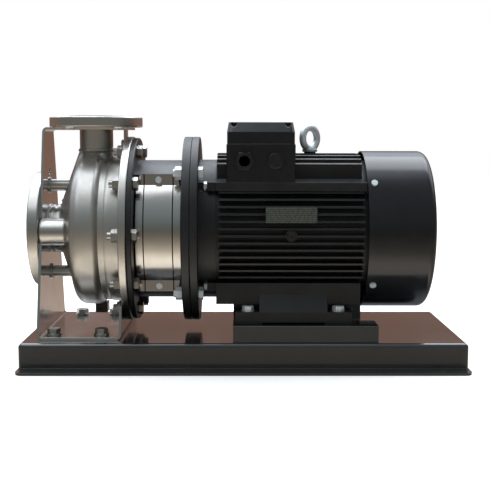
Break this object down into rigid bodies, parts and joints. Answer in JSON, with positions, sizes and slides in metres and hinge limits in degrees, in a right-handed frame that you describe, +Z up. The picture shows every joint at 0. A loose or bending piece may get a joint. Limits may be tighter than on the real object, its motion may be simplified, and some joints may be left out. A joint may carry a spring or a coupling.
{
  "type": "centrifugal water pump",
  "caption": "Close-coupled end-suction centrifugal pump: stainless volute with flanged ports, lantern with bright guards and a finned flange motor on a folded base.",
  "frame": {"origin": "middle of the base's underside", "axes": "+X along the shaft from the suction flange to the fan cover, +Z up, +Y to the rear"},
  "size_m": [0.688, 0.344, 0.389],
  "materials": {
    "black_gloss": "gloss black powder coat",
    "black_paint": "satin black paint",
    "black_casting": "satin black paint over a cast surface",
    "polished_stainless": "mirror-polished stainless sheet",
    "brushed_stainless": "bead-blasted and brushed stainless",
    "turned_stainless": "turned stainless",
    "stainless_fastener": "bright stainless fasteners",
    "zinc_fastener": "bright zinc plate",
    "dark_steel": "black oxide",
    "ground_steel": "ground steel",
    "bearing_steel": "polished bearing steel",
    "lamination_steel": "varnished laminations",
    "enamelled_copper": "enamelled copper winding",
    "ceramic": "fine ceramic",
    "black_rubber": "black rubber",
    "moulded_plastic": "moulded plastic",
    "dark_gland": "black moulded fittings",
    "nameplate_alloy": "etched alloy plate"
  },
  "bodies": {
    "housing": {"base_frame": "black_gloss", "motor_rails": "black_paint", "support_bracket": "polished_stainless", "bracket_bolts": "stainless_fastener", "standoff_rods": "turned_stainless", "standoff_washers": "stainless_fastener", "side_spacers": "turned_stainless", "suction_flange": "turned_stainless", "suction_pipe": "turned_stainless", "volute_casing": "brushed_stainless", "discharge_neck": "brushed_stainless", "discharge_flange": "turned_stainless", "casing_flange": "turned_stainless", "drain_block": "black_paint", "drain_plug": "dark_steel", "casing_bolts": "stainless_fastener", "casing_nuts": "stainless_fastener", "pump_cover": "brushed_stainless", "wear_ring": "turned_stainless", "seal_seat": "ceramic", "seat_o_ring": "black_rubber", "lantern": "black_casting", "coupling_guard_front": "polished_stainless", "coupling_guard_rear": "polished_stainless", "guard_screws": "zinc_fastener", "flange_bolts": "zinc_fastener", "flange_nuts": "zinc_fastener", "drive_end_shield": "black_casting", "motor_frame": "black_casting", "foot_bolts": "zinc_fastener", "shield_screws": "zinc_fastener", "stator_core": "lamination_steel", "stator_winding": "enamelled_copper", "fan_end_shield": "black_casting", "bearing_outer_rings": "bearing_steel", "preload_spring": "bearing_steel", "fan_cover": "black_paint", "fan_cover_screws": "zinc_fastener", "terminal_box": "black_paint", "lid_gasket": "black_rubber", "terminal_lid": "black_paint", "lid_screws": "dark_steel", "terminal_board": "moulded_plastic", "cable_gland": "dark_gland", "blank_plug": "dark_gland", "eyebolt": "zinc_fastener", "nameplate": "nameplate_alloy", "earth_screw": "dark_steel"},
    "rotor": {"motor_shaft": "ground_steel", "rotor_core": "lamination_steel", "fan": "moulded_plastic", "stub_shaft": "turned_stainless", "stub_set_screws": "dark_steel", "rotor_keys": "ground_steel", "impeller": "brushed_stainless", "impeller_nut": "stainless_fastener", "seal_head": "black_rubber", "bearing_inner_rings": "bearing_steel"},
    "drive_balls": {"drive_ball_set": "bearing_steel"},
    "fan_balls": {"fan_ball_set": "bearing_steel"}
  },
  "joints": [
    {"name": "rotor_spin", "type": "hinge", "parent": "housing", "child": "rotor", "pos_m": [0, 0, 0.206], "axis": [1, 0, 0], "continuous": true},
    {"name": "drive_balls_spin", "type": "hinge", "parent": "housing", "child": "drive_balls", "pos_m": [0, 0, 0.206], "axis": [1, 0, 0], "continuous": true},
    {"name": "fan_balls_spin", "type": "hinge", "parent": "housing", "child": "fan_balls", "pos_m": [0, 0, 0.206], "axis": [1, 0, 0], "continuous": true}
  ],
  "couplings": [
    {"joint": "drive_balls_spin", "follows": "rotor_spin", "ratio": 0.3846},
    {"joint": "fan_balls_spin", "follows": "rotor_spin", "ratio": 0.3917}
  ]
}
